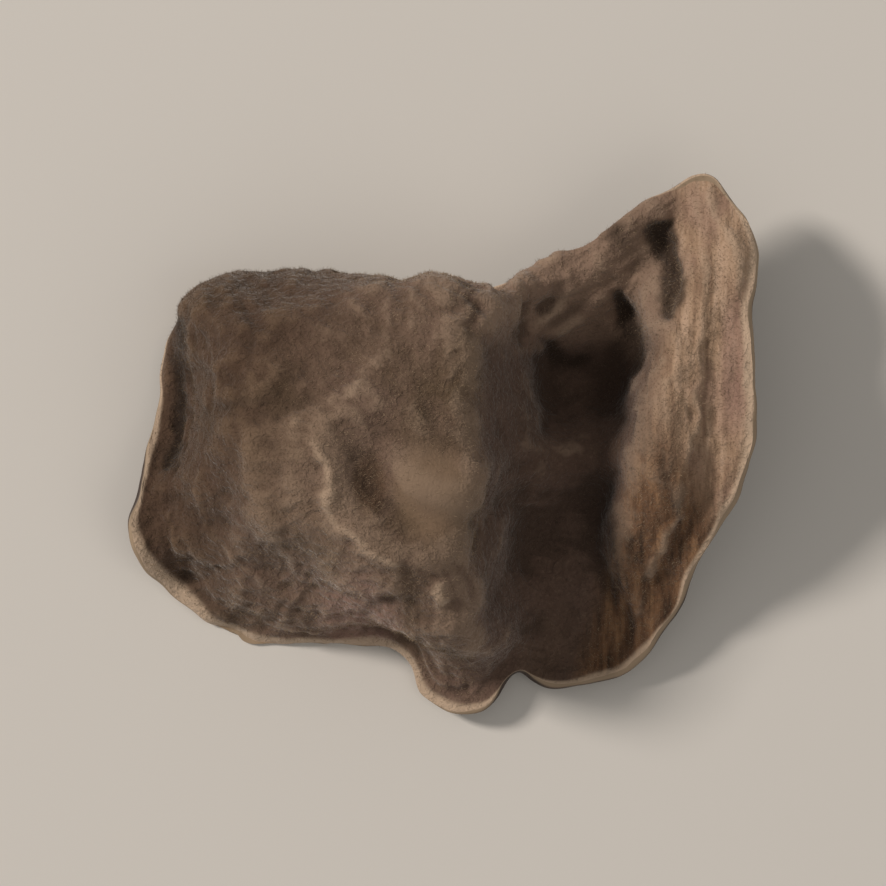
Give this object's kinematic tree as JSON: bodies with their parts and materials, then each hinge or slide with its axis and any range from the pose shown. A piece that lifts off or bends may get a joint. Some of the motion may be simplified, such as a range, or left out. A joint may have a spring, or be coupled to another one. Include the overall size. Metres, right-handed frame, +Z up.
{
  "type": "dried wood ear mushroom",
  "caption": "Dried wood ear mushroom: a thin leathery cap, shrunk into a domed lobe and a flared lip with a deep fold between them, lying with its velvety side up.",
  "frame": {"origin": "middle of the bounding box in plan, on the surface that the ear lies on", "axes": "+Z up; +X from the large domed lobe across the fold to the flared lip; +Y along the fold towards the pointed end of the flared lip"},
  "size_m": [0.0248, 0.0216, 0.008],
  "materials": {
    "dried_velvet": "matte, finely felted, dried to a leathery sheet"
  },
  "bodies": {
    "root": {"fruit_body": "dried_velvet"}
  },
  "joints": []
}
